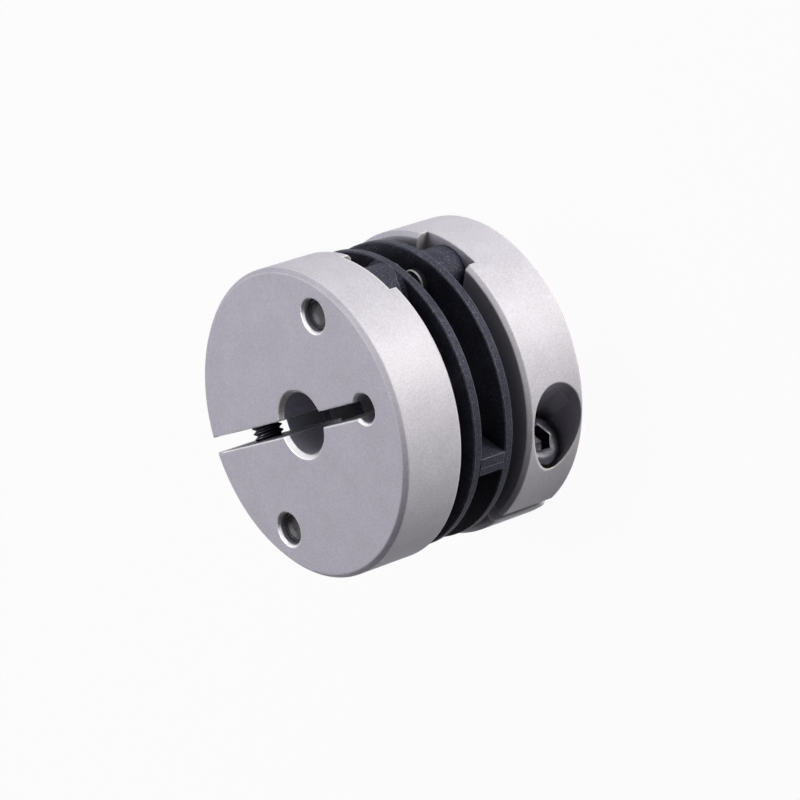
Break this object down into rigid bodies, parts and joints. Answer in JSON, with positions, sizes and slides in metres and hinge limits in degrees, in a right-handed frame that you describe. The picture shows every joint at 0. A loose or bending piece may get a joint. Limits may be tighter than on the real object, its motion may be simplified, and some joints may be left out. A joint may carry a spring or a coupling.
{
  "type": "disc coupling",
  "caption": "Disc coupling with aluminium clamp hubs and a black moulded flexible disc between them, for joining shafts end to end.",
  "frame": {"origin": "centre of the rear hub's outer face, on the shaft axis, where the coupling stands", "axes": "+Z along the shaft axis from the rear hub to the front hub; the drive pins lie in the YZ plane, the bridges between the discs in the XZ plane"},
  "size_m": [0.025, 0.025, 0.0186],
  "materials": {
    "anodised_aluminium": "bead-blasted, clear anodised",
    "black_moulding": "moulded, fine grain",
    "black_screw": "black oxide",
    "pin_steel": "ground, dull"
  },
  "bodies": {
    "root": {"front_hub": "anodised_aluminium", "rear_hub": "anodised_aluminium", "twin_disc": "black_moulding", "front_clamp_screw": "black_screw", "rear_clamp_screw": "black_screw", "front_drive_pin_left": "pin_steel", "front_drive_pin_right": "pin_steel", "rear_drive_pin_left": "pin_steel", "rear_drive_pin_right": "pin_steel"}
  },
  "joints": []
}
